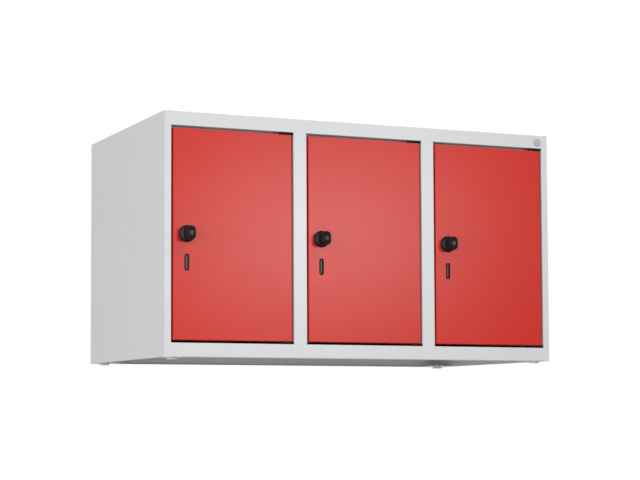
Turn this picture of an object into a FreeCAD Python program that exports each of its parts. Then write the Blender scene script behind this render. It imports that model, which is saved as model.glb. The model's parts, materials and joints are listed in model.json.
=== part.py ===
# Locker top cabinet: a sheet steel box with three doors side by side, which stands on top of a locker.
# X runs to the right, the doors face -Y and Z runs up. The origin is under the middle of the whole box.
import FreeCAD
import Part
import Sketcher
import math
import operator
import os

doc = FreeCAD.newDocument("LockerTopCabinet")
sheet = doc.addObject("Spreadsheet::Sheet", "Sizes")
pieces = []


class Size:
    # A number together with the formula that gives it, so that arithmetic here also writes the formula.
    def __init__(self, value, formula):
        self.value = value
        self.formula = formula

    def combine(self, other, sign, work, swapped=False):
        if not isinstance(other, Size):
            other = Size(float(other), f"({float(other)})")
        first, second = (other, self) if swapped else (self, other)
        return Size(work(first.value, second.value), f"({first.formula} {sign} {second.formula})")

    def __add__(self, other):
        return self.combine(other, "+", operator.add)

    def __sub__(self, other):
        return self.combine(other, "-", operator.sub)

    def __rsub__(self, other):
        return self.combine(other, "-", operator.sub, swapped=True)

    def __mul__(self, other):
        return self.combine(other, "*", operator.mul)

    def __truediv__(self, other):
        return self.combine(other, "/", operator.truediv)

    def __neg__(self):
        return self * -1


def size(name, value):
    row = f"A{size.rows}"
    size.rows += 1
    sheet.set(row, str(value))
    sheet.setAlias(row, name)
    return Size(float(value), f"Sizes.{name}")


size.rows = 1

# The carcass, in millimetres
width = size("width", 900)
depth = size("depth", 500)
height = size("height", 500)
sheet_thick = size("sheet_thick", 0.8)
bend_inside = size("bend_inside", 0.8)
seam_gap = size("seam_gap", 0.2)
stile_width = size("stile_width", 15)
post_width = size("post_width", 30)
rail_height = size("rail_height", 29)
strike_lip = size("strike_lip", 10)
strike_gap = size("strike_gap", 4)
back_return = size("back_return", 15)
hem_width = size("hem_width", 12)
flange_width = size("flange_width", 12)
flange_inset = size("flange_inset", 20)
partition_flange = size("partition_flange", 10)

# The fixings of the carcass
rivet_shank = size("rivet_shank", 4)
rivet_play = size("rivet_play", 0.1)
rivet_head = size("rivet_head", 8)
rivet_head_thick = size("rivet_head_thick", 1.2)
rivet_bulb = size("rivet_bulb", 6)
rivet_bulb_thick = size("rivet_bulb_thick", 1.6)
rivet_end_inset = size("rivet_end_inset", 40)
wall_hole = size("wall_hole", 9)
wall_hole_drop = size("wall_hole_drop", 45)
locker_hole = size("locker_hole", 7)
locker_hole_side = size("locker_hole_side", 80)
locker_hole_end = size("locker_hole_end", 90)

# The feet
foot_height = size("foot_height", 4)
foot_width = size("foot_width", 22)
foot_inset = size("foot_inset", 25)
foot_collar = size("foot_collar", 14)
foot_round = size("foot_round", 1)
foot_floor = size("foot_floor", 1.6)
plate_width = size("plate_width", 55)
plate_thick = size("plate_thick", 2)
foot_screw = size("foot_screw", 6)
foot_screw_head = size("foot_screw_head", 12)
foot_screw_head_thick = size("foot_screw_head_thick", 3)
screw_clearance = size("screw_clearance", 0.1)

# The round plate on the top rail
badge_width = size("badge_width", 18)
badge_thick = size("badge_thick", 0.8)
badge_inset = size("badge_inset", 25)
badge_drop = size("badge_drop", 16)
badge_round = size("badge_round", 0.4)

# The doors and their hinges
door_side_gap = size("door_side_gap", 3.5)
door_end_gap = size("door_end_gap", 5)
door_recess = size("door_recess", 1)
door_depth = size("door_depth", 18)
door_lip = size("door_lip", 12)
stiffener_crown = size("stiffener_crown", 40)
stiffener_flange = size("stiffener_flange", 12)
stiffener_inset = size("stiffener_inset", 3.4)
hinge_inset = size("hinge_inset", 8)
pin_width = size("pin_width", 6)
pin_clearance = size("pin_clearance", 0.05)
pin_overlap = size("pin_overlap", 6)
collar_width = size("collar_width", 10)
collar_thick = size("collar_thick", 2)
bush_width = size("bush_width", 28)
bush_front = size("bush_front", 0.6)
bush_depth = size("bush_depth", 13)
bush_play = size("bush_play", 0.3)
bush_boss = size("bush_boss", 10)
bush_boss_length = size("bush_boss_length", 8)
bush_round = size("bush_round", 0.6)
buffer_width = size("buffer_width", 6)
buffer_play = size("buffer_play", 0.2)
buffer_inset = size("buffer_inset", 90)

# The lock of a door
lock_inset = size("lock_inset", 30)
lock_hole_play = size("lock_hole_play", 0.1)
rosette_width = size("rosette_width", 35)
rosette_thick = size("rosette_thick", 2.5)
rosette_round = size("rosette_round", 1.2)
sleeve_width = size("sleeve_width", 18)
sleeve_play = size("sleeve_play", 3)
nut_width = size("nut_width", 26)
nut_thick = size("nut_thick", 5)
knob_reach = size("knob_reach", 29)
knob_play = size("knob_play", 0.2)
knob_base_width = size("knob_base_width", 31)
knob_base_thick = size("knob_base_thick", 8.2)
knob_barrel = size("knob_barrel", 40)
grip_width = size("grip_width", 19)
grip_height = size("grip_height", 29)
grip_round = size("grip_round", 2)
plug_width = size("plug_width", 9)
plug_length = size("plug_length", 12)
plug_recess = size("plug_recess", 0.3)
plug_play = size("plug_play", 0.05)
keyway_width = size("keyway_width", 1.4)
keyway_height = size("keyway_height", 6)
keyway_depth = size("keyway_depth", 7)
spindle_width = size("spindle_width", 10)
spindle_play = size("spindle_play", 0.1)
knob_web = size("knob_web", 3.5)
tenon_width = size("tenon_width", 7)
tenon_play = size("tenon_play", 0.05)
cam_gap = size("cam_gap", 0.4)
cam_thick = size("cam_thick", 3)
cam_width = size("cam_width", 14)
cam_reach = size("cam_reach", 30)
cam_tail = size("cam_tail", 9)
cam_corner = size("cam_corner", 4)
cam_screw = size("cam_screw", 5)
cam_screw_length = size("cam_screw_length", 12)
cam_screw_head = size("cam_screw_head", 11)
cam_screw_head_thick = size("cam_screw_head_thick", 3)

# The slot below a lock
slot_drop = size("slot_drop", 58)
slot_width = size("slot_width", 4.6)
slot_length = size("slot_length", 30)
slot_wall = size("slot_wall", 1.2)
slot_play = size("slot_play", 0.1)
slot_flange = size("slot_flange", 1.3)
slot_flange_thick = size("slot_flange_thick", 0.8)
slot_ring_depth = size("slot_ring_depth", 3)
slot_plate_thick = size("slot_plate_thick", 1.5)

zero = Size(0.0, "0")
doc.recompute()

# Levels that several pieces share
bend_outside = bend_inside + sheet_thick
rivet_hole = rivet_shank + rivet_play * 2
front = (knob_reach - door_recess - depth - rivet_head_thick) / 2
back = front + depth
base = foot_height
top = base + height
sill = base + rail_height
head = top - rail_height
strike = front + door_recess + door_depth + strike_gap
lip_cut = strike - bend_inside - seam_gap
lip_foot = sill + strike_lip
lintel = head - strike_lip
door_face = front + door_recess
door_bottom = sill + door_end_gap
door_height = head - sill - door_end_gap * 2
lock_level = base + height / 2
hinge_setback = sheet_thick + seam_gap + collar_width / 2
hinge_depth = door_face + hinge_setback
half_width = width / 2
stile_edge = half_width - stile_width

# The three compartments, as the left and right edge of each opening
door_names = ["left", "middle", "right"]
pitch = width / len(door_names)
post_places = [pitch * i - half_width for i in range(1, len(door_names))]
left_edges = [-stile_edge] + [place + post_width / 2 for place in post_places]
right_edges = [place - post_width / 2 for place in post_places] + [stile_edge]
hinge_places = [edge - door_side_gap - hinge_inset for edge in right_edges]
lock_places = [edge + door_side_gap + lock_inset for edge in left_edges]


# Sketching

def bind(sketch, kind, places, length):
    index = sketch.addConstraint(Sketcher.Constraint(kind, *places, length.value))
    sketch.setExpression(f"Constraints[{index}]", length.formula)


def circle(u, v, diameter):
    def draw(sketch):
        centre = FreeCAD.Vector(u.value, v.value, 0)
        ring = sketch.addGeometry(Part.Circle(centre, FreeCAD.Vector(0, 0, 1), diameter.value / 2))
        bind(sketch, "DistanceX", (-1, 1, ring, 3), u)
        bind(sketch, "DistanceY", (-1, 1, ring, 3), v)
        bind(sketch, "Diameter", (ring,), diameter)
    return draw


def arc_between(first, last, centre, turns_left):
    begin, end = (first, last) if turns_left else (last, first)
    low = math.atan2(begin.y - centre.y, begin.x - centre.x)
    high = math.atan2(end.y - centre.y, end.x - centre.x)
    if high < low:
        high += 2 * math.pi
    ring = Part.Circle(centre, FreeCAD.Vector(0, 0, 1), (first - centre).Length)
    return Part.ArcOfCircle(ring, low, high)


# A closed outline of level and upright lines through corners (u, v, radius), where the radius may be None.
def outline(corners):
    places = [FreeCAD.Vector(u.value, v.value, 0) for u, v, radius in corners]
    rounds = [radius.value if radius else 0.0 for u, v, radius in corners]
    ways = [(places[(i + 1) % len(places)] - place).normalize() for i, place in enumerate(places)]

    def draw(sketch):
        lines = []
        for i, (u, v, radius) in enumerate(corners):
            following = (i + 1) % len(corners)
            first = places[i] + ways[i] * rounds[i]
            last = places[following] - ways[i] * rounds[following]
            lines.append(sketch.addGeometry(Part.LineSegment(first, last)))
            if abs(ways[i].x) > abs(ways[i].y):
                sketch.addConstraint(Sketcher.Constraint("Horizontal", lines[i]))
                bind(sketch, "DistanceY", (-1, 1, lines[i], 1), v)
            else:
                sketch.addConstraint(Sketcher.Constraint("Vertical", lines[i]))
                bind(sketch, "DistanceX", (-1, 1, lines[i], 1), u)
        for i, (u, v, radius) in enumerate(corners):
            if not radius:
                sketch.addConstraint(Sketcher.Constraint("Coincident", lines[i - 1], 2, lines[i], 1))
                continue
            first = places[i] - ways[i - 1] * rounds[i]
            last = places[i] + ways[i] * rounds[i]
            centre = first + ways[i] * rounds[i]
            turns_left = ways[i - 1].cross(ways[i]).z > 0
            arc = sketch.addGeometry(arc_between(first, last, centre, turns_left))
            near, far = (1, 2) if turns_left else (2, 1)
            sketch.addConstraint(Sketcher.Constraint("Tangent", lines[i - 1], 2, arc, near))
            sketch.addConstraint(Sketcher.Constraint("Tangent", arc, far, lines[i], 1))
            bind(sketch, "Radius", (arc,), radius)
    return draw


def rectangle(u_low, v_low, u_high, v_high, radius=None):
    return outline([
        (u_low, v_low, radius),
        (u_high, v_low, radius),
        (u_high, v_high, radius),
        (u_low, v_high, radius),
    ])


# The section of a folded sheet: path follows one face, and the sheet lies to the left of it,
# or to the right where side is -1.
def folded(path, side=1):
    ways = []
    for (u, v), (next_u, next_v) in zip(path, path[1:]):
        way = FreeCAD.Vector(next_u.value - u.value, next_v.value - v.value, 0).normalize()
        ways.append((round(way.x), round(way.y)))
    inward = [(-way[1] * side, way[0] * side) for way in ways]
    face = []
    reverse = []
    for i, (u, v) in enumerate(path):
        before = inward[i - 1] if i > 0 else (0, 0)
        after = inward[i] if i < len(inward) else (0, 0)
        shift_u = sheet_thick * (before[0] + after[0])
        shift_v = sheet_thick * (before[1] + after[1])
        face_round = None
        reverse_round = None
        if 0 < i < len(inward):
            turn = (ways[i - 1][0] * ways[i][1] - ways[i - 1][1] * ways[i][0]) * side
            face_round = bend_outside if turn > 0 else bend_inside
            reverse_round = bend_inside if turn > 0 else bend_outside
        face.append((u, v, face_round))
        reverse.append((u + shift_u, v + shift_v, reverse_round))
    return outline(face + reverse[::-1])


# An upright slot with round ends about a centre
def slot(u, v, slot_wide, slot_long):
    radius = slot_wide / 2
    upper = v + slot_long / 2 - radius
    lower = v - slot_long / 2 + radius

    def draw(sketch):
        high = FreeCAD.Vector(u.value, upper.value, 0)
        low = FreeCAD.Vector(u.value, lower.value, 0)
        across = FreeCAD.Vector(radius.value, 0, 0)
        crown = sketch.addGeometry(arc_between(high + across, high - across, high, True))
        left = sketch.addGeometry(Part.LineSegment(high - across, low - across))
        bowl = sketch.addGeometry(arc_between(low - across, low + across, low, True))
        right = sketch.addGeometry(Part.LineSegment(low + across, high + across))
        loop = [crown, left, bowl, right]
        for one, other in zip(loop, loop[1:] + loop[:1]):
            sketch.addConstraint(Sketcher.Constraint("Tangent", one, 2, other, 1))
        sketch.addConstraint(Sketcher.Constraint("Vertical", left))
        sketch.addConstraint(Sketcher.Constraint("Equal", crown, bowl))
        bind(sketch, "DistanceX", (-1, 1, crown, 3), u)
        bind(sketch, "DistanceY", (-1, 1, crown, 3), upper)
        bind(sketch, "DistanceY", (-1, 1, bowl, 3), lower)
        bind(sketch, "Radius", (crown,), radius)
    return draw


# Solids

def new_body(label, x=zero, y=zero, z=zero):
    body = doc.addObject("PartDesign::Body", label)
    body.Label = label
    body.AllowCompound = True
    for axis, place in zip("xyz", (x, y, z)):
        body.setExpression(f"Placement.Base.{axis}", place.formula)
    pieces.append(body)
    return body


# A sketch on XZ faces -Y, and the other two face along their axis.
facing = {"XY": 1, "XZ": -1, "YZ": 1}


def extrude(body, kind, plane, loops, start, end):
    origin_plane = [item for item in body.Origin.OriginFeatures if item.Role == f"{plane}_Plane"][0]
    sketch = body.newObject("Sketcher::SketchObject", f"{body.Label}_sketch")
    sketch.AttachmentSupport = [(origin_plane, "")]
    sketch.MapMode = "FlatFace"
    sketch.setExpression("AttachmentOffset.Base.z", (start * facing[plane]).formula)
    for loop in loops:
        loop(sketch)
    before = body.Shape.Volume if body.Tip else 0.0
    feature = body.newObject(kind, f"{body.Label}_feature")
    feature.Profile = sketch
    adds = kind == "PartDesign::Pad"
    feature.Reversed = (facing[plane] < 0) == adds
    feature.setExpression("Length", (end - start).formula)
    doc.recompute()
    change = body.Shape.Volume - before
    if (change > 0) != adds or abs(change) < 1e-6:
        raise ValueError(f"{body.Label}: {kind} changed the volume by {change}")


def pad(body, plane, loops, start, end):
    extrude(body, "PartDesign::Pad", plane, loops, start, end)


def pocket(body, plane, loops, start, end):
    extrude(body, "PartDesign::Pocket", plane, loops, start, end)


def round_edges(body, radius, chosen):
    solid = body.Tip
    names = [f"Edge{i}" for i, edge in enumerate(solid.Shape.Edges, start=1) if chosen(edge)]
    fillet = body.newObject("PartDesign::Fillet", f"{body.Label}_round")
    fillet.Base = (solid, names)
    fillet.setExpression("Radius", radius.formula)
    doc.recompute()


def lies_at(axis, place):
    def chosen(edge):
        box = edge.BoundBox
        low = getattr(box, f"{axis}Min")
        high = getattr(box, f"{axis}Max")
        return max(abs(low - place.value), abs(high - place.value)) < 1e-6
    return chosen


# The fixings' places, shared by the pieces that they join
rivet_row = back_return / 2
rivet_side_levels = [lip_foot + rivet_end_inset, (lip_foot + top) / 2, top - rivet_end_inset]
rivets_left = [(rivet_row - half_width, level) for level in rivet_side_levels]
rivets_right = [(half_width - rivet_row, level) for level in rivet_side_levels]
rivets_top = [((left + right) / 2, top - rivet_row) for left, right in zip(left_edges, right_edges)]
rivets = rivets_left + rivets_right + rivets_top
hinge_points = [(place, hinge_depth) for place in hinge_places]
wall_holes = [((left_edges[i] + right_edges[i]) / 2, top - wall_hole_drop) for i in (0, -1)]
locker_holes = [
    ((half_width - locker_hole_side) * side, depth_place)
    for side in (-1, 1)
    for depth_place in (front + locker_hole_end, back - locker_hole_end)
]
feet = {
    "front_left": (foot_inset - half_width, front + foot_inset),
    "front_right": (half_width - foot_inset, front + foot_inset),
    "rear_left": (foot_inset - half_width, back - foot_inset),
    "rear_right": (half_width - foot_inset, back - foot_inset),
}


def circles(places, diameter):
    return [circle(u, v, diameter) for u, v in places]


# A side panel: wall, front stile with its return and strike lip, back return and roof flange, all one sheet
def side_panel(label, side, rivet_places):
    wall = half_width * side
    edge = stile_edge * side
    lip_edge = (stile_edge - strike_lip) * side
    body = new_body(label)
    path = [
        (wall - back_return * side, back),
        (wall, back),
        (wall, front),
        (edge, front),
        (edge, strike),
        (lip_edge, strike),
    ]
    pad(body, "XY", [folded(path, -side)], base, top - sheet_thick)
    outer = edge + bend_outside * side
    behind = strike + sheet_thick
    for low, high in ((base, lip_foot), (lintel, top)):
        pocket(body, "XY", [rectangle(outer, lip_cut, lip_edge, behind)], low, high)
    return_foot = rectangle(outer, front + bend_outside, edge, lip_cut)
    pocket(body, "XY", [return_foot], base, sill - sheet_thick)
    flange = rectangle(wall, strike + flange_inset, wall - flange_width * side, back - flange_inset)
    pad(body, "XY", [flange], top - sheet_thick * 2, top - sheet_thick)
    pocket(body, "XZ", circles(rivet_places, rivet_hole), back - sheet_thick, back)


# The roof: rear flange, roof sheet, front rail, return and strike lip, all one sheet
def roof_panel():
    body = new_body("roof_panel")
    path = [
        (back, top - back_return),
        (back, top),
        (front, top),
        (front, head),
        (strike, head),
        (strike, lintel),
    ]
    pad(body, "YZ", [folded(path)], -stile_edge, stile_edge)
    for side in (-1, 1):
        end = rectangle(stile_edge * side, front, half_width * side, back)
        pad(body, "XY", [end], top - sheet_thick, top)
    bosses = circles(hinge_points, bush_boss + pin_clearance * 2)
    pocket(body, "XY", bosses, head, head + sheet_thick)
    pocket(body, "XZ", circles(rivets_top, rivet_hole), back - sheet_thick, back)


# The floor: rear skirt, floor sheet and front rail with hems, all one sheet, level with the sill
def floor_panel():
    body = new_body("floor_panel")
    path = [
        (back - hem_width, base),
        (back, base),
        (back, sill),
        (front, sill),
        (front, base),
        (front + hem_width, base),
    ]
    pad(body, "YZ", [folded(path)], -stile_edge, stile_edge)
    wall_face = half_width - sheet_thick
    for side in (-1, 1):
        end = rectangle(stile_edge * side, strike + seam_gap, wall_face * side, back - bend_outside - seam_gap)
        pad(body, "XY", [end], sill - sheet_thick, sill)
        flange = rectangle(
            (wall_face - sheet_thick) * side, strike + flange_inset, wall_face * side, back - flange_inset
        )
        pad(body, "XY", [flange], sill - flange_width, sill - sheet_thick)
    bosses = circles(hinge_points, bush_boss + pin_clearance * 2)
    holes = circles(locker_holes, locker_hole)
    pocket(body, "XY", bosses + holes, sill - sheet_thick, sill)


# A post between two doors: a hat section whose brims are the strike lips
def post(label, place):
    body = new_body(label, x=place)
    half = post_width / 2
    reach = half + strike_lip
    path = [
        (-reach, strike),
        (-half, strike),
        (-half, front),
        (half, front),
        (half, strike),
        (reach, strike),
    ]
    pad(body, "XY", [folded(path)], sill, head)
    end_cut = rectangle(-reach, lip_cut, reach, strike + sheet_thick)
    pocket(body, "XY", [end_cut], sill, lip_foot)
    pocket(body, "XY", [end_cut], lintel, head)


# A partition between two compartments, with a flange in the post and one on the back panel
def partition(label, place):
    body = new_body(label, x=place)
    tongue = front + sheet_thick
    shoulder = strike + sheet_thick + seam_gap
    rear = back - sheet_thick * 2
    plate = outline([
        (tongue, sill, None),
        (rear, sill, None),
        (rear, top - sheet_thick, None),
        (shoulder, top - sheet_thick, None),
        (shoulder, lintel - seam_gap, None),
        (tongue, lintel - seam_gap, None),
    ])
    pad(body, "YZ", [plate], zero, sheet_thick)
    front_flange = rectangle(zero, tongue, partition_flange, tongue + sheet_thick)
    pad(body, "XY", [front_flange], sill, lintel - seam_gap)
    rear_flange = rectangle(zero, rear - sheet_thick, partition_flange, rear)
    pad(body, "XY", [rear_flange], sill, top - sheet_thick)


def back_panel():
    body = new_body("back_panel")
    reach = half_width - sheet_thick - bend_inside - seam_gap
    upper = top - sheet_thick - bend_inside - seam_gap
    holes = circles(rivets, rivet_hole) + circles(wall_holes, wall_hole)
    plate = rectangle(-reach, sill, reach, upper)
    pad(body, "XZ", [plate] + holes, back - sheet_thick * 2, back - sheet_thick)


def back_rivets():
    body = new_body("back_rivets")
    inside = back - sheet_thick * 2
    pad(body, "XZ", circles(rivets, rivet_shank), inside, back)
    pad(body, "XZ", circles(rivets, rivet_head), back, back + rivet_head_thick)
    pad(body, "XZ", circles(rivets, rivet_bulb), inside - rivet_bulb_thick, inside)


# The plates in the lower corners, which carry the feet
def corner_plates():
    body = new_body("corner_plates")
    wall_face = half_width - sheet_thick
    front_edge = front + bend_outside + seam_gap
    back_edge = back - bend_outside - seam_gap
    plates = []
    for side in (-1, 1):
        near = wall_face * side
        far = (wall_face - plate_width) * side
        plates.append(rectangle(near, front_edge, far, front_edge + plate_width))
        plates.append(rectangle(near, back_edge - plate_width, far, back_edge))
    holes = circles(feet.values(), foot_screw + screw_clearance * 2)
    pad(body, "XY", plates + holes, base + sheet_thick, base + sheet_thick + plate_thick)


def foot(name, place):
    body = new_body(f"{name}_foot", x=place[0], y=place[1])
    pad(body, "XY", [circle(zero, zero, foot_width)], zero, foot_height)
    round_edges(body, foot_round, lies_at("Z", zero))
    pad(body, "XY", [circle(zero, zero, foot_collar)], foot_height, foot_height + sheet_thick)
    bore = circle(zero, zero, foot_screw + screw_clearance * 2)
    pocket(body, "XY", [bore], foot_floor, foot_height + sheet_thick)


def foot_screws():
    body = new_body("foot_screws")
    seat = base + sheet_thick + plate_thick
    pad(body, "XY", circles(feet.values(), foot_screw), foot_floor + seam_gap, seat)
    pad(body, "XY", circles(feet.values(), foot_screw_head), seat, seat + foot_screw_head_thick)


def badge_plate():
    body = new_body("badge_plate", x=half_width - badge_inset, y=front, z=top - badge_drop)
    pad(body, "XZ", [circle(zero, zero, badge_width)], -badge_thick, zero)
    round_edges(body, badge_round, lies_at("Y", -badge_thick))


# Rubber buffers on the strike lips, two for each door on the lock side
def door_buffers():
    body = new_body("door_buffers")
    rubber = strike_gap - buffer_play
    places = []
    for edge in left_edges:
        for level in (sill + buffer_inset, head - buffer_inset):
            places.append((edge + strike_lip / 2, level))
    pad(body, "XZ", circles(places, buffer_width), strike - rubber, strike)


# The plastic bushes of a door's hinge, one in each rail
def hinge_bushes(name, right_edge, hinge_place):
    body = new_body(f"{name}_hinge_bushes")
    block_height = door_end_gap - bush_play
    near = front + bush_front
    block = rectangle(
        right_edge - seam_gap - bush_width, near, right_edge - seam_gap, near + bush_depth, bush_round
    )
    boss = circle(hinge_place, hinge_depth, bush_boss)
    bore = circle(hinge_place, hinge_depth, pin_width + pin_clearance * 2)
    pad(body, "XY", [block, bore], head - block_height, head)
    pad(body, "XY", [boss, bore], head, head + bush_boss_length)
    pad(body, "XY", [block, bore], sill, sill + block_height)
    pad(body, "XY", [boss, bore], sill - bush_boss_length, sill)


# A door is drawn from its opening's left edge, its own front face and its lower edge.
def door_panel(name, left_edge, right_edge):
    body = new_body(f"{name}_door_panel", x=left_edge, y=door_face, z=door_bottom)
    near = door_side_gap
    far = right_edge - left_edge - door_side_gap
    pad(body, "XZ", [rectangle(near, zero, far, door_height)], zero, door_depth)
    round_edges(body, bend_outside, lies_at("Y", zero))
    hollow = rectangle(
        near + sheet_thick, sheet_thick, far - sheet_thick, door_height - sheet_thick
    )
    pocket(body, "XZ", [hollow], sheet_thick, door_depth - sheet_thick)
    mouth = rectangle(near + door_lip, door_lip, far - door_lip, door_height - door_lip)
    pocket(body, "XZ", [mouth], door_depth - sheet_thick, door_depth)
    lock_u = near + lock_inset
    lock_v = lock_level - door_bottom
    holes = [
        circle(lock_u, lock_v, sleeve_width + lock_hole_play * 2),
        slot(lock_u, lock_v - slot_drop, ring_width + slot_play * 2, ring_length + slot_play * 2),
    ]
    pocket(body, "XZ", holes, zero, sheet_thick)
    pin_hole = circle(far - hinge_inset, hinge_setback, pin_width + pin_clearance * 2)
    pocket(body, "XY", [pin_hole], zero, sheet_thick)
    pocket(body, "XY", [pin_hole], door_height - sheet_thick, door_height)


# An upright hat section behind the middle of the door
def door_stiffener(name, left_edge, right_edge):
    middle = (right_edge - left_edge) / 2
    body = new_body(f"{name}_door_stiffener", x=left_edge + middle, y=door_face, z=door_bottom)
    half = stiffener_crown / 2
    reach = half + stiffener_flange
    crown = door_depth - stiffener_inset - sheet_thick
    path = [
        (-reach, sheet_thick),
        (-half, sheet_thick),
        (-half, crown),
        (half, crown),
        (half, sheet_thick),
        (reach, sheet_thick),
    ]
    pad(body, "XY", [folded(path)], door_lip, door_height - door_lip)


def hinge_pins(name, hinge_place):
    body = new_body(f"{name}_hinge_pins", x=hinge_place, y=hinge_depth, z=door_bottom)
    shaft = circle(zero, zero, pin_width)
    collar = circle(zero, zero, collar_width)
    upper = door_height - sheet_thick
    pad(body, "XY", [collar], upper - collar_thick, upper)
    pad(body, "XY", [shaft], upper, door_height + door_end_gap + pin_overlap)
    pad(body, "XY", [collar], sheet_thick, sheet_thick + collar_thick)
    pad(body, "XY", [shaft], -(door_end_gap + pin_overlap), sheet_thick)


# The lock's pieces are drawn from the point where its axis meets the door's front face.
rosette_face = -rosette_thick
knob_seat = rosette_face - knob_play
knob_face = -knob_reach
cam_front = strike + sheet_thick + cam_gap - door_face
cam_rear = cam_front + cam_thick
sleeve_end = cam_front - sleeve_play
plug_end = knob_face + plug_recess + plug_length
spindle_start = plug_end + knob_web
ring_width = slot_width + slot_wall * 2
ring_length = slot_length + slot_wall * 2


def lock_body(label, lock_place):
    return new_body(label, x=lock_place, y=door_face, z=lock_level)


# The rosette in front of the door and its threaded sleeve through it
def lock_housing(name, lock_place):
    body = lock_body(f"{name}_lock_housing", lock_place)
    pad(body, "XZ", [circle(zero, zero, rosette_width)], rosette_face, zero)
    round_edges(body, rosette_round, lies_at("Y", rosette_face))
    pad(body, "XZ", [circle(zero, zero, sleeve_width)], zero, sleeve_end)
    bore = circle(zero, zero, spindle_width + spindle_play * 2)
    pocket(body, "XZ", [bore], rosette_face, sleeve_end)


def lock_nut(name, lock_place):
    prism = doc.addObject("Part::Prism", f"{name}_nut_blank")
    prism.Polygon = 6
    prism.setExpression("Circumradius", (nut_width / 2).formula)
    prism.setExpression("Height", nut_thick.formula)
    bore = doc.addObject("Part::Cylinder", f"{name}_nut_bore")
    bore.setExpression("Radius", (sleeve_width / 2 + lock_hole_play).formula)
    bore.setExpression("Height", nut_thick.formula)
    nut = doc.addObject("Part::Cut", f"{name}_lock_nut")
    nut.Label = f"{name}_lock_nut"
    nut.Base = prism
    nut.Tool = bore
    nut.Placement = FreeCAD.Placement(
        FreeCAD.Vector(), FreeCAD.Rotation(FreeCAD.Vector(1, 0, 0), -90)
    )
    for axis, place in zip("xyz", (lock_place, door_face + sheet_thick, lock_level)):
        nut.setExpression(f"Placement.Base.{axis}", place.formula)
    pieces.append(nut)


# The turn knob: a round base that falls away to the left and right like an upright barrel, and a grip bar
# with round ends that stands through it, bored for the key plug and the spindle
def knob(name, lock_place):
    body = lock_body(f"{name}_knob", lock_place)
    base_face = knob_seat - knob_base_thick
    half_base = knob_base_width / 2
    pad(body, "XZ", [circle(zero, zero, knob_base_width)], base_face, knob_seat)
    barrel = circle(zero, base_face + knob_barrel / 2, knob_barrel)
    around = rectangle(-knob_barrel, base_face - knob_barrel, knob_barrel, base_face + knob_barrel * 2)
    pocket(body, "XY", [around, barrel], -half_base, half_base)
    pad(body, "XZ", [slot(zero, zero, grip_width, grip_height)], knob_face, knob_seat)
    round_edges(body, grip_round, lies_at("Y", knob_face))
    plug_bore = circle(zero, zero, plug_width + plug_play * 2)
    pocket(body, "XZ", [plug_bore], knob_face, plug_end)
    socket = circle(zero, zero, spindle_width + spindle_play * 2)
    pocket(body, "XZ", [socket], spindle_start, knob_seat)


def key_plug(name, lock_place):
    body = lock_body(f"{name}_key_plug", lock_place)
    plug_face = knob_face + plug_recess
    pad(body, "XZ", [circle(zero, zero, plug_width)], plug_face, plug_end)
    half_key = keyway_width / 2
    half_tall = keyway_height / 2
    keyway = rectangle(-half_key, -half_tall, half_key, half_tall)
    pocket(body, "XZ", [keyway], plug_face, plug_face + keyway_depth)


def spindle(name, lock_place):
    body = lock_body(f"{name}_spindle", lock_place)
    pad(body, "XZ", [circle(zero, zero, spindle_width)], spindle_start, cam_front)
    half = tenon_width / 2
    tenon_end = cam_rear - seam_gap
    pad(body, "XZ", [rectangle(-half, -half, half, half)], cam_front, tenon_end)
    bore = circle(zero, zero, cam_screw + screw_clearance * 2)
    pocket(body, "XZ", [bore], cam_rear - cam_screw_length - seam_gap, tenon_end)


# The cam points up while the door is free and swings to the left behind the strike lip.
def cam(name, lock_place):
    body = lock_body(f"{name}_cam", lock_place)
    half = cam_width / 2
    arm = rectangle(-half, -cam_tail, half, cam_reach, cam_corner)
    half_hole = tenon_width / 2 + tenon_play
    hole = rectangle(-half_hole, -half_hole, half_hole, half_hole)
    pad(body, "XZ", [arm, hole], cam_front, cam_rear)


def cam_screw_piece(name, lock_place):
    body = lock_body(f"{name}_cam_screw", lock_place)
    pad(body, "XZ", [circle(zero, zero, cam_screw)], cam_rear - cam_screw_length, cam_rear)
    pad(body, "XZ", [circle(zero, zero, cam_screw_head)], cam_rear, cam_rear + cam_screw_head_thick)


# The slot below the lock: a rim that clips through the door, and a plate that closes it behind
def slot_bezel(name, lock_place):
    body = lock_body(f"{name}_slot_bezel", lock_place)
    level = -slot_drop
    opening = slot(zero, level, slot_width, slot_length)
    flange = slot(zero, level, ring_width + slot_flange * 2, ring_length + slot_flange * 2)
    ring = slot(zero, level, ring_width, ring_length)
    pad(body, "XZ", [flange, opening], -slot_flange_thick, zero)
    pad(body, "XZ", [ring, opening], zero, slot_ring_depth)


def slot_plate(name, lock_place):
    body = lock_body(f"{name}_slot_plate", lock_place)
    plate = slot(zero, -slot_drop, ring_width, ring_length)
    pad(body, "XZ", [plate], slot_ring_depth, slot_ring_depth + slot_plate_thick)


side_panel("left_side_panel", -1, rivets_left)
side_panel("right_side_panel", 1, rivets_right)
roof_panel()
floor_panel()
for post_name, post_place in zip(("left", "right"), post_places):
    post(f"{post_name}_post", post_place)
    partition(f"{post_name}_partition", post_place)
back_panel()
back_rivets()
corner_plates()
for foot_name, foot_place in feet.items():
    foot(foot_name, foot_place)
foot_screws()
badge_plate()
door_buffers()
for i, door_name in enumerate(door_names):
    hinge_bushes(door_name, right_edges[i], hinge_places[i])
    door_panel(door_name, left_edges[i], right_edges[i])
    door_stiffener(door_name, left_edges[i], right_edges[i])
    hinge_pins(door_name, hinge_places[i])
    for make in (lock_housing, lock_nut, slot_bezel, slot_plate, knob, key_plug, spindle, cam, cam_screw_piece):
        make(door_name, lock_places[i])
doc.recompute()

failed = [item.Label for item in doc.Objects if {"Invalid", "Error"} & set(item.State)]
unsound = [piece.Label for piece in pieces if piece.Shape.isNull() or not piece.Shape.isValid()]
if failed or unsound:
    raise ValueError(f"failed: {failed}, unsound: {unsound}")

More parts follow.
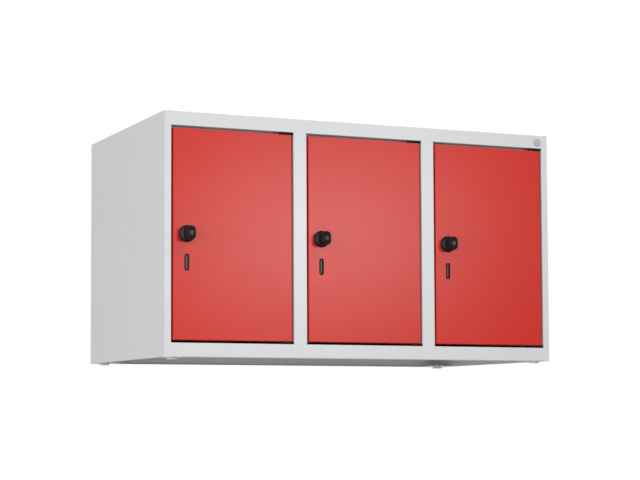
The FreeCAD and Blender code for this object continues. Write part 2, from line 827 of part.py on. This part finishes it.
os.makedirs("parts", exist_ok=True)
for piece in pieces:
    piece.Shape.exportStep(f"parts/{piece.Label}.step")
print(len(pieces), "sub-parts written")
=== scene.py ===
# Locker top cabinet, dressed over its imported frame. Metres, Z up, the doors face -Y.
import bmesh
import bpy
import json
import math
from mathutils import Matrix, Vector


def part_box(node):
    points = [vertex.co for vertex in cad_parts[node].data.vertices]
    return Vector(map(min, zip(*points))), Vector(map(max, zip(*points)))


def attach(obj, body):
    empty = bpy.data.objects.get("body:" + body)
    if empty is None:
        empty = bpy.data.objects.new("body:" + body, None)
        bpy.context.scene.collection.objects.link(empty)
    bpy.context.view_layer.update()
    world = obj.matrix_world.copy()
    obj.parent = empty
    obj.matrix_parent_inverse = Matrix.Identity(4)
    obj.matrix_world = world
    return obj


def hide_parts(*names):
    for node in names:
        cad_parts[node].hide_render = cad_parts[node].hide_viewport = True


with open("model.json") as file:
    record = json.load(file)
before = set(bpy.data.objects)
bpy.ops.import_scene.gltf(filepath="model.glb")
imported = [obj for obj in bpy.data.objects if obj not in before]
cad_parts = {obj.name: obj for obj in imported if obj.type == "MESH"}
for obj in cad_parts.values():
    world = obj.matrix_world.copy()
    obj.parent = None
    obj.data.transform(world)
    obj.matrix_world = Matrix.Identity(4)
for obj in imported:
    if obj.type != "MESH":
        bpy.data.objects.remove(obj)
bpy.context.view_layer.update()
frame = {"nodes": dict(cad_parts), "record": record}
nodes = frame["nodes"]
doorNames = ["left", "middle", "right"]
mm = 0.001
sharpAngle = math.radians(38)  # edges steeper than this stay crisp on the added pieces
print("frame loaded:", len(nodes), "nodes")


# helpers

def toLinear(hexColour):
    channels = [int(hexColour[i:i + 2], 16) / 255 for i in (1, 3, 5)]
    linear = [c / 12.92 if c <= 0.04045 else ((c + 0.055) / 1.055) ** 2.4 for c in channels]
    return (*linear, 1.0)


# settings go to the node's own fields or to its sockets, links come from other nodes' outputs
def addNode(tree, kind, settings=None, links=None):
    made = tree.nodes.new(kind)
    for key, value in (settings or {}).items():
        if isinstance(key, str) and hasattr(made, key):
            setattr(made, key, value)
        else:
            made.inputs[key].default_value = value
    for key, output in (links or {}).items():
        tree.links.new(output, made.inputs[key])
    return made


def newMaterial(name):
    material = bpy.data.materials.new(name)
    material.use_nodes = True
    material.node_tree.nodes.clear()
    return material, material.node_tree


def closeMaterial(tree, shader):
    addNode(tree, "ShaderNodeOutputMaterial", links={"Surface": shader.outputs[0]})


def meshPiece(name, bm, material, body):
    bmesh.ops.recalc_face_normals(bm, faces=bm.faces)
    mesh = bpy.data.meshes.new(name)
    bm.to_mesh(mesh)
    bm.free()
    mesh.materials.append(material)
    mesh.shade_smooth()
    mesh.set_sharp_from_angle(angle=sharpAngle)
    piece = bpy.data.objects.new(name, mesh)
    bpy.context.scene.collection.objects.link(piece)
    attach(piece, body)
    return piece


# spins a profile of (radius, height) about an axis through a centre. A third number gives the ring
# four arms, and is its radius between them as a share of the whole.
armWidth = 0.92  # nearer to 1 makes the arms narrower


def addTurned(bm, profile, centre, axis, steps):
    turn = Vector((0, 0, 1)).rotation_difference(Vector(axis)).to_matrix().to_4x4()
    place = Matrix.Translation(centre) @ turn
    rings = []
    for radius, height, *waist in profile:
        if radius == 0:
            rings.append([bm.verts.new(place @ Vector((0, 0, height)))] * steps)
            continue
        ring = []
        for i in range(steps):
            angle = 2 * math.pi * i / steps
            inArm = abs(math.cos(2 * angle)) > armWidth
            reach = radius * (waist[0] if waist and not inArm else 1)
            ring.append(bm.verts.new(place @ Vector((reach * math.cos(angle), reach * math.sin(angle), height))))
        rings.append(ring)
    for lower, upper in zip(rings, rings[1:]):
        for i in range(steps):
            corners = [lower[i - 1], lower[i], upper[i], upper[i - 1]]
            bm.faces.new(list(dict.fromkeys(corners)))


def addBlock(bm, low, high):
    size = Vector(high) - Vector(low)
    place = Matrix.Translation((Vector(low) + Vector(high)) / 2) @ Matrix.Diagonal((*size, 1))
    bmesh.ops.create_cube(bm, size=1, matrix=place)


# boxes of the separate solids in a node, told apart by how far they lie from each other
def solidBoxes(node, reach):
    groups = []
    for vertex in nodes[node].data.vertices:
        for group in groups:
            if (group[0] - vertex.co).length < reach:
                group.append(vertex.co.copy())
                break
        else:
            groups.append([vertex.co.copy()])
    boxes = []
    for group in groups:
        low = Vector([min(p[i] for p in group) for i in range(3)])
        high = Vector([max(p[i] for p in group) for i in range(3)])
        boxes.append((low, high))
    return boxes


# materials

# polyester powder coat, sprayed on steel sheet and baked: a satin film with soft orange peel,
# over sheet that is never quite flat, so broad reflections swim a little
def powderCoat(name, coat):
    material, tree = newMaterial(name)
    place = addNode(tree, "ShaderNodeTexCoord").outputs["Object"]
    cloud = addNode(tree, "ShaderNodeTexNoise", {"Scale": 1 / coat["cloud"], "Detail": 2.0}, {"Vector": place})
    colour = addNode(tree, "ShaderNodeValToRGB", links={"Fac": cloud.outputs["Fac"]})
    colour.color_ramp.elements[0].position = 0.3
    colour.color_ramp.elements[0].color = toLinear(coat["colour"])
    colour.color_ramp.elements[1].position = 0.7
    colour.color_ramp.elements[1].color = toLinear(coat["thinColour"])
    gloss = addNode(tree, "ShaderNodeTexNoise", {"Scale": 1 / coat["gloss"], "Detail": 3.0}, {"Vector": place})
    rough = addNode(
        tree, "ShaderNodeMapRange",
        {"To Min": coat["roughness"] - coat["glossSpread"],
         "To Max": coat["roughness"] + coat["glossSpread"]},
        {"Value": gloss.outputs["Fac"]},
    )
    wave = addNode(tree, "ShaderNodeTexNoise", {"Scale": 1 / coat["sheetWave"], "Detail": 0.0}, {"Vector": place})
    sheet = addNode(
        tree, "ShaderNodeBump", {"Strength": 1.0, "Distance": coat["sheetHeight"]}, {"Height": wave.outputs["Fac"]}
    )
    peel = addNode(tree, "ShaderNodeTexNoise", {"Scale": 1 / coat["peelWave"], "Detail": 1.0}, {"Vector": place})
    skin = addNode(
        tree, "ShaderNodeBump", {"Strength": 1.0, "Distance": coat["peelHeight"]},
        {"Height": peel.outputs["Fac"], "Normal": sheet.outputs[0]},
    )
    shader = addNode(
        tree, "ShaderNodeBsdfPrincipled", {"IOR": coat["ior"]},
        {"Base Color": colour.outputs[0], "Roughness": rough.outputs[0], "Normal": skin.outputs[0]},
    )
    closeMaterial(tree, shader)
    return material


greyCoat = {
    "colour": "#d0d1d3", "thinColour": "#cdcfd0", "roughness": 0.29, "ior": 1.37,
    "cloud": 260 * mm, "gloss": 22 * mm, "glossSpread": 0.015,
    "sheetWave": 170 * mm, "sheetHeight": 0.14 * mm,
    "peelWave": 4 * mm, "peelHeight": 0.02 * mm,  # real peel is about 2 mm wide, drawn coarser to show
}
redCoat = {
    "colour": "#c51b02", "thinColour": "#c21901", "roughness": 0.29, "ior": 1.35,
    "cloud": 260 * mm, "gloss": 22 * mm, "glossSpread": 0.015,
    "sheetWave": 170 * mm, "sheetHeight": 0.14 * mm,
    "peelWave": 4 * mm, "peelHeight": 0.02 * mm,
}


# polyamide, injection moulded in a spark eroded tool: fine dull grain that breaks up the shine
plasticSpread = 0.05  # how far the roughness wanders to either side


def mouldedPlastic(name, plastic):
    material, tree = newMaterial(name)
    place = addNode(tree, "ShaderNodeTexCoord").outputs["Object"]
    flow = addNode(tree, "ShaderNodeTexNoise", {"Scale": 1 / plastic["flow"], "Detail": 2.0}, {"Vector": place})
    colour = addNode(tree, "ShaderNodeValToRGB", links={"Fac": flow.outputs["Fac"]})
    colour.color_ramp.elements[0].color = toLinear(plastic["colour"])
    colour.color_ramp.elements[1].color = toLinear(plastic["wornColour"])
    rough = addNode(
        tree, "ShaderNodeMapRange",
        {"To Min": plastic["roughness"] - plasticSpread, "To Max": plastic["roughness"] + plasticSpread},
        {"Value": flow.outputs["Fac"]},
    )
    grain = addNode(tree, "ShaderNodeTexNoise", {"Scale": 1 / plastic["grain"], "Detail": 2.0}, {"Vector": place})
    skin = addNode(
        tree, "ShaderNodeBump", {"Strength": 1.0, "Distance": plastic["grainHeight"]},
        {"Height": grain.outputs["Fac"]},
    )
    shader = addNode(
        tree, "ShaderNodeBsdfPrincipled", {"IOR": plastic["ior"]},
        {"Base Color": colour.outputs[0], "Roughness": rough.outputs[0], "Normal": skin.outputs[0]},
    )
    closeMaterial(tree, shader)
    return material


blackPlastic = {
    "colour": "#0c0d0e", "wornColour": "#121314", "roughness": 0.42, "ior": 1.2, "flow": 9 * mm,
    "grain": 0.7 * mm, "grainHeight": 0.012 * mm,  # real grain is about 0.2 mm, drawn coarser to show
}
greyPlastic = {
    "colour": "#e6e7e6", "wornColour": "#e0e1e0", "roughness": 0.5, "ior": 1.45, "flow": 12 * mm,
    "grain": 0.7 * mm, "grainHeight": 0.01 * mm,
}
smokePlastic = {
    "colour": "#9c9391", "wornColour": "#968d8b", "roughness": 0.5, "ior": 1.45, "flow": 12 * mm,
    "grain": 0.7 * mm, "grainHeight": 0.01 * mm,
}


# natural rubber, pressed: matt and nearly black, with a dusty bloom
def pressedRubber(name, rubber):
    material, tree = newMaterial(name)
    place = addNode(tree, "ShaderNodeTexCoord").outputs["Object"]
    bloom = addNode(tree, "ShaderNodeTexNoise", {"Scale": 1 / rubber["bloom"], "Detail": 4.0}, {"Vector": place})
    colour = addNode(tree, "ShaderNodeValToRGB", links={"Fac": bloom.outputs["Fac"]})
    colour.color_ramp.elements[0].color = toLinear(rubber["colour"])
    colour.color_ramp.elements[1].color = toLinear(rubber["bloomColour"])
    skin = addNode(
        tree, "ShaderNodeBump", {"Strength": 1.0, "Distance": rubber["bloomHeight"]}, {"Height": bloom.outputs["Fac"]}
    )
    shader = addNode(
        tree, "ShaderNodeBsdfPrincipled", {"IOR": rubber["ior"], "Roughness": rubber["roughness"]},
        {"Base Color": colour.outputs[0], "Normal": skin.outputs[0]},
    )
    closeMaterial(tree, shader)
    return material


blackRubber = {
    "colour": "#151515", "bloomColour": "#242423", "roughness": 0.8, "ior": 1.52,
    "bloom": 3 * mm, "bloomHeight": 0.02 * mm,
}


# plated metal: zinc is a soft mottled grey from its passivation, black nickel is dark and turned in rings,
# satin anodised aluminium is pale and even
metalSpread = 0.06


def platedMetal(name, metal):
    material, tree = newMaterial(name)
    place = addNode(tree, "ShaderNodeTexCoord").outputs["Object"]
    mottle = addNode(tree, "ShaderNodeTexNoise", {"Scale": 1 / metal["mottle"], "Detail": 3.0}, {"Vector": place})
    colour = addNode(tree, "ShaderNodeValToRGB", links={"Fac": mottle.outputs["Fac"]})
    colour.color_ramp.elements[0].color = toLinear(metal["colour"])
    colour.color_ramp.elements[1].color = toLinear(metal["dullColour"])
    rough = addNode(
        tree, "ShaderNodeMapRange",
        {"To Min": metal["roughness"] - metalSpread, "To Max": metal["roughness"] + metalSpread},
        {"Value": mottle.outputs["Fac"]},
    )
    # rings run about the middle of the piece's own box
    middle = addNode(
        tree, "ShaderNodeMapping", {"Location": (-0.5, -0.5, -0.5)},
        {"Vector": addNode(tree, "ShaderNodeTexCoord").outputs["Generated"]},
    )
    rings = addNode(
        tree, "ShaderNodeTexWave",
        {"wave_type": "RINGS", "rings_direction": "Y", "Scale": metal["rings"], "Distortion": 0.4},
        {"Vector": middle.outputs[0]},
    )
    skin = addNode(
        tree, "ShaderNodeBump", {"Strength": 1.0, "Distance": metal["ringHeight"]}, {"Height": rings.outputs["Fac"]}
    )
    shader = addNode(
        tree, "ShaderNodeBsdfPrincipled", {"Metallic": 1.0},
        {"Base Color": colour.outputs[0], "Roughness": rough.outputs[0], "Normal": skin.outputs[0]},
    )
    closeMaterial(tree, shader)
    return material


zincPlate = {
    "colour": "#b9bdc0", "dullColour": "#a7abac", "roughness": 0.38, "mottle": 4 * mm,
    "rings": 6.0, "ringHeight": 0.004 * mm,
}
blackNickel = {
    "colour": "#5c5e5d", "dullColour": "#525453", "roughness": 0.34, "mottle": 3 * mm,
    "rings": 8.0, "ringHeight": 0.008 * mm,
}
satinAluminium = {
    "colour": "#b0b2b4", "dullColour": "#a8aaac", "roughness": 0.5, "mottle": 5 * mm,
    "rings": 12.0, "ringHeight": 0.004 * mm,
}

finishes = {
    "grey_sheet": powderCoat("greyPowderCoatOnSteel", greyCoat),
    "red_sheet": powderCoat("redPowderCoatOnSteel", redCoat),
    "black_plastic": mouldedPlastic("blackMouldedPolyamide", blackPlastic),
    "grey_plastic": mouldedPlastic("greyMouldedPolyamide", greyPlastic),
    "lock_metal": platedMetal("blackNickelPlatedTurnedBrass", blackNickel),
    "zinc": platedMetal("zincPlatedSteel", zincPlate),
    "rubber": pressedRubber("blackPressedRubber", blackRubber),
    "badge": platedMetal("satinAnodisedAluminium", satinAluminium),
}
for row in frame["record"]["subparts"]:
    skin = nodes[row["node"]].data.materials
    skin.clear()
    skin.append(finishes[row["material_slot"]])
slotFinish = mouldedPlastic("smokeGreyMouldedPolyamide", smokePlastic)
for door in doorNames:
    nodes[f"{door}_slot_plate"].data.materials[0] = slotFinish
print("materials:", len(finishes))


# small pieces

# the corners of the front frame are welded and ground flush under the coat, so no seam shows there
frameSeams = {"stile": 15 * mm, "post": 30 * mm, "rail": 29 * mm, "fold": 1.6 * mm, "sheet": 0.8 * mm}


def addSeams(seams):
    bm = bmesh.new()
    fold = seams["fold"]
    low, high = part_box("roof_panel")
    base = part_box("left_side_panel")[0].z
    faceDepths = (low.y, low.y + fold)
    # the upper ones end under the roof sheet
    levels = [(base, base + seams["rail"]), (high.z - seams["rail"], high.z - seams["sheet"])]
    for side in (low.x + seams["stile"], high.x - seams["stile"]):
        away = -fold if side < 0 else fold
        for bottom, top in levels:
            across = sorted((side, side + away))
            addBlock(bm, (across[0], faceDepths[0], bottom), (across[1], faceDepths[1], top))
    half = seams["post"] / 2 - fold
    for node in ("left_post", "right_post"):
        postLow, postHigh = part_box(node)
        middle = (postLow.x + postHigh.x) / 2
        for bottom, top in ((levels[0][1] - fold, levels[0][1]), (levels[1][0], levels[1][0] + fold)):
            addBlock(bm, (middle - half, faceDepths[0], bottom), (middle + half, faceDepths[1], top))
    meshPiece("groundWeldSeams", bm, finishes["grey_sheet"], "cabinet")


# blind rivets: domed head with the dimple of the broken mandrel, and a bulb behind the sheets
rivetShape = {
    "head": 4 * mm, "crown": 1.2 * mm, "dimple": 1.2 * mm, "dimpleDepth": 0.6 * mm,
    "shank": 2 * mm, "grip": 1.6 * mm, "bulb": 3 * mm, "bulbLength": 1.6 * mm,
    "shoulder": 0.4 * mm, "tail": 0.5 * mm, "reach": 12 * mm, "steps": 24,
}


def addRivets(rivet):
    bm = bmesh.new()
    head, crown, grip, bulb = rivet["head"], rivet["crown"], rivet["grip"], rivet["bulb"]
    end = -grip - rivet["bulbLength"]
    profile = [
        (0, crown - rivet["dimpleDepth"]), (rivet["dimple"] * 0.85, crown - rivet["dimpleDepth"]),
        (rivet["dimple"], crown), (head * 0.5, crown * 0.97), (head * 0.72, crown * 0.8),
        (head * 0.9, crown * 0.48), (head, crown * 0.12), (head, 0), (rivet["shank"], 0),
        (rivet["shank"], -grip), (bulb * 0.9, -grip), (bulb, -grip - rivet["shoulder"]),
        (bulb * 0.92, end + rivet["tail"]), (bulb * 0.6, end), (0, end),
    ]
    places = solidBoxes("back_rivets", rivet["reach"])
    for low, high in places:
        middle = (low + high) / 2
        addTurned(bm, profile, (middle.x, high.y - crown, middle.z), (0, 1, 0), rivet["steps"])
    piece = meshPiece("domedBackRivets", bm, finishes["zinc"], "cabinet")
    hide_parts("back_rivets")
    print("rivets:", len(places))


# pan head screws with a cross recess, which hold the cams
camScrew = {
    "head": 5.5 * mm, "headHeight": 3 * mm, "recess": 2.9 * mm, "recessDepth": 1.7 * mm, "waist": 0.36,
    "shank": 2.5 * mm, "length": 12 * mm, "tip": 0.6 * mm, "steps": 48,
}


def addCamScrew(door, screw):
    bm = bmesh.new()
    head, tall, waist = screw["head"], screw["headHeight"], screw["waist"]
    floor = tall - screw["recessDepth"]
    profile = [
        (0, floor), (screw["recess"] * 0.55, floor, waist), (screw["recess"], tall, waist),
        (head * 0.6, tall), (head * 0.8, tall * 0.93), (head * 0.94, tall * 0.75), (head, tall * 0.45), (head, 0),
        (screw["shank"], 0), (screw["shank"], screw["tip"] - screw["length"]),
        (screw["shank"] * 0.8, -screw["length"]),
        (0, -screw["length"]),
    ]
    low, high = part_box(f"{door}_cam_screw")
    middle = (low + high) / 2
    addTurned(bm, profile, (middle.x, high.y - tall, middle.z), (0, 1, 0), screw["steps"])
    piece = meshPiece(f"{door}CrossHeadScrew", bm, finishes["zinc"], f"{door}_knob")
    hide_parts(f"{door}_cam_screw")


# blank round plate with a turned rim line
plateShape = {
    "rimLine": 0.84, "lineWidth": 0.07, "lineDepth": 0.3 * mm, "lineSlope": 0.1 * mm, "edge": 0.3 * mm, "steps": 64,
}


def addPlate(plate):
    bm = bmesh.new()
    low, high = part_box("badge_plate")
    middle = (low + high) / 2
    radius, thick = (high.x - low.x) / 2, high.y - low.y
    inner, outer = radius * plate["rimLine"], radius * (plate["rimLine"] + plate["lineWidth"])
    profile = [
        (0, thick), (inner, thick), (inner + plate["lineSlope"], thick - plate["lineDepth"]),
        (outer - plate["lineSlope"], thick - plate["lineDepth"]), (outer, thick), (radius - plate["edge"], thick),
        (radius, thick - plate["edge"]), (radius, 0), (0, 0),
    ]
    addTurned(bm, profile, (middle.x, high.y, middle.z), (0, -1, 0), plate["steps"])
    piece = meshPiece("blankRoundPlate", bm, finishes["badge"], "cabinet")
    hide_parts("badge_plate")


# spot welds press a shallow ring into the stiffener's flanges, softened by the coat
spotWeld = {
    "ring": 2.4 * mm, "width": 3.4 * mm, "height": 0.14 * mm, "pitch": 51 * mm,
    "flange": 6 * mm, "sheet": 0.8 * mm, "steps": 20,
}


def addSpotWelds(door, weld):
    bm = bmesh.new()
    low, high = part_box(f"{door}_door_stiffener")
    ring, height = weld["ring"], weld["height"]
    profile = [
        (0, height * 0.15), (ring * 0.7, height * 0.3), (ring * 0.9, height * 0.85), (ring, height),
        (ring * 1.15, height * 0.8), (weld["width"], 0), (0, 0),
    ]
    count = int((high.z - low.z) / weld["pitch"])
    start = (low.z + high.z) / 2 - (count - 1) / 2 * weld["pitch"]
    for x in (low.x + weld["flange"], high.x - weld["flange"]):
        for i in range(count):
            addTurned(bm, profile, (x, low.y + weld["sheet"], start + i * weld["pitch"]), (0, 1, 0), weld["steps"])
    meshPiece(f"{door}StiffenerSpotWelds", bm, finishes["red_sheet"], f"{door}_door")


addSeams(frameSeams)
addRivets(rivetShape)
addPlate(plateShape)
for door in doorNames:
    addCamScrew(door, camScrew)
    addSpotWelds(door, spotWeld)
print("small pieces added")


# camera

cameraSettings = {
    "place": (-1.6375, -3.5945, -0.1171), "yaw": 23.146, "tilt": 3.902, "roll": 0.157,
    "focalPixels": 1771.3, "framePixels": 640, "sensor": 36.0,
    "shift": (0.0657, 0.0876),  # the photograph keeps its uprights parallel, this takes a third of that
}


def addCamera(view):
    data = bpy.data.cameras.new("photoCamera")
    data.sensor_width = view["sensor"]
    data.lens = view["focalPixels"] * view["sensor"] / view["framePixels"]
    data.shift_x, data.shift_y = view["shift"]
    camera = bpy.data.objects.new("photoCamera", data)
    camera.location = view["place"]
    camera.rotation_euler = [math.radians(a) for a in (90 + view["tilt"], view["roll"], -view["yaw"])]
    bpy.context.scene.collection.objects.link(camera)
    bpy.context.scene.camera = camera


addCamera(cameraSettings)
print("camera set")


# floor and light

stage = {
    "floorColour": "#f3f3f1", "floorLevel": -0.3 * mm, "floorRadius": 6.0,
    "fadeStart": 0.9, "fadeEnd": 3.2, "ambient": 0.31,
}


# the floor shows from above, where it takes the cabinet's shadow, and fades out to the white round it.
# From below it is left open, because the photograph looks up at the underside.
def floorMaterial(settings):
    material, tree = newMaterial("paleStudioFloor")
    light = addNode(tree, "ShaderNodeLightPath")
    side = addNode(tree, "ShaderNodeNewGeometry")
    place = addNode(tree, "ShaderNodeTexCoord").outputs["Object"]
    away = addNode(tree, "ShaderNodeVectorMath", {"operation": "LENGTH"}, {0: place})
    fade = addNode(
        tree, "ShaderNodeMapRange",
        {"interpolation_type": "SMOOTHSTEP", "From Min": settings["fadeStart"], "From Max": settings["fadeEnd"],
         "To Min": 1.0, "To Max": 0.0},
        {"Value": away.outputs["Value"]},
    )
    above = addNode(
        tree, "ShaderNodeMath", {"operation": "SUBTRACT"},
        {0: light.outputs["Is Camera Ray"], 1: side.outputs["Backfacing"]},
    )
    shown = addNode(
        tree, "ShaderNodeMath", {"operation": "MULTIPLY", "use_clamp": True},
        {0: above.outputs[0], 1: fade.outputs[0]},
    )
    paint = addNode(tree, "ShaderNodeBsdfDiffuse", {"Color": toLinear(settings["floorColour"])})
    clear = addNode(tree, "ShaderNodeBsdfTransparent")
    shader = addNode(
        tree, "ShaderNodeMixShader", links={0: shown.outputs[0], 1: clear.outputs[0], 2: paint.outputs[0]}
    )
    closeMaterial(tree, shader)
    return material


def addFloor(settings):
    bm = bmesh.new()
    bmesh.ops.create_circle(
        bm, cap_ends=True, segments=96, radius=settings["floorRadius"],
        matrix=Matrix.Translation((0, 0, settings["floorLevel"])),
    )
    mesh = bpy.data.meshes.new("studioFloor")
    bm.to_mesh(mesh)
    bm.free()
    mesh.materials.append(floorMaterial(settings))
    floor = bpy.data.objects.new("studioFloor", mesh)
    bpy.context.scene.collection.objects.link(floor)


# the camera, metal and glass see plain white, everything else gets the softer ambient light
def addWorld(settings):
    world = bpy.data.worlds.new("studioWorld")
    world.use_nodes = True
    tree = world.node_tree
    tree.nodes.clear()
    light = addNode(tree, "ShaderNodeLightPath")
    direct = addNode(
        tree, "ShaderNodeMath", {"operation": "ADD", "use_clamp": True},
        {0: light.outputs["Is Camera Ray"], 1: light.outputs["Is Glossy Ray"]},
    )
    seen = addNode(
        tree, "ShaderNodeMath", {"operation": "ADD", "use_clamp": True},
        {0: direct.outputs[0], 1: light.outputs["Is Transmission Ray"]},
    )
    ambient = addNode(tree, "ShaderNodeBackground", {"Color": (1, 1, 1, 1), "Strength": settings["ambient"]})
    white = addNode(tree, "ShaderNodeBackground", {"Color": (1, 1, 1, 1), "Strength": 1.0})
    mixed = addNode(
        tree, "ShaderNodeMixShader", links={0: seen.outputs[0], 1: ambient.outputs[0], 2: white.outputs[0]}
    )
    addNode(tree, "ShaderNodeOutputWorld", links={"Surface": mixed.outputs[0]})
    bpy.context.scene.world = world


lamps = {
    "keySoftbox": {"place": (2.5, -3.6, 4.5), "aim": (0, -0.2, 0.25), "size": (2.4, 2.4), "watts": 95},
    "frontSoftbox": {"place": (-1.7, -4.2, 0.5), "aim": (0, -0.24, 0.25), "size": (1.8, 1.8), "watts": 36},
    "leftSoftbox": {"place": (-2.9, -1.9, 0.5), "aim": (-0.3, -0.2, 0.25), "size": (2.4, 2.4), "watts": 43},
    "lockSoftbox": {"place": (-2.9, -1.9, 0.5), "aim": (-0.3, -0.2, 0.25), "size": (1.0, 1.0), "watts": 110},
    "sideSoftbox": {"place": (-3.4, 0.6, 0.1), "aim": (-0.45, 0, 0.2), "size": (1.2, 1.2), "watts": 14},
    "lowSoftbox": {"place": (-0.6, -3.0, -1.0), "aim": (0, -0.24, 0.25), "size": (1.6, 0.8), "watts": 6},
    "sheenStrip": {"place": (1.38, -3.59, 0.64), "aim": (-0.2, -0.24, 0.2), "size": (1.0, 0.4), "watts": 26},
    "rearSoftbox": {"place": (1.26, 2.9, 3.5), "aim": (0, 0.26, 0.25), "size": (2.4, 2.0), "watts": 95},
    "rightSoftbox": {"place": (3.4, 0.9, 0.8), "aim": (0.45, 0, 0.25), "size": (1.4, 1.2), "watts": 35},
}


def addLamp(name, lamp):
    data = bpy.data.lights.new(name, "AREA")
    data.shape = "RECTANGLE"
    data.size, data.size_y = lamp["size"]
    data.energy = lamp["watts"]
    holder = bpy.data.objects.new(name, data)
    holder.location = lamp["place"]
    holder.rotation_euler = (Vector(lamp["aim"]) - Vector(lamp["place"])).to_track_quat("-Z", "Y").to_euler()
    holder.visible_camera = False
    bpy.context.scene.collection.objects.link(holder)
    return holder


addFloor(stage)
addWorld(stage)
holders = {lampName: addLamp(lampName, lamp) for lampName, lamp in lamps.items()}

# polarised fills: they light the coat and leave no mirror image of themselves in it
for lampName in ("frontSoftbox", "leftSoftbox", "sideSoftbox", "rightSoftbox"):
    holders[lampName].visible_glossy = False

# flags: the strip puts its sheen on the coated sheets alone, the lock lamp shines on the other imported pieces
# apart from the feet
sheets = bpy.data.collections.new("coatedSheets")
fittings = bpy.data.collections.new("fittings")
for row in frame["record"]["subparts"]:
    if row["material_slot"] in ("grey_sheet", "red_sheet"):
        sheets.objects.link(nodes[row["node"]])
    elif not row["node"].endswith("_foot"):
        fittings.objects.link(nodes[row["node"]])
sheets.objects.link(bpy.data.objects["groundWeldSeams"])
holders["sheenStrip"].light_linking.receiver_collection = sheets
holders["lockSoftbox"].light_linking.receiver_collection = fittings
bpy.context.scene.view_settings.view_transform = "Standard"
print("stage lit:", len(lamps), "lamps")
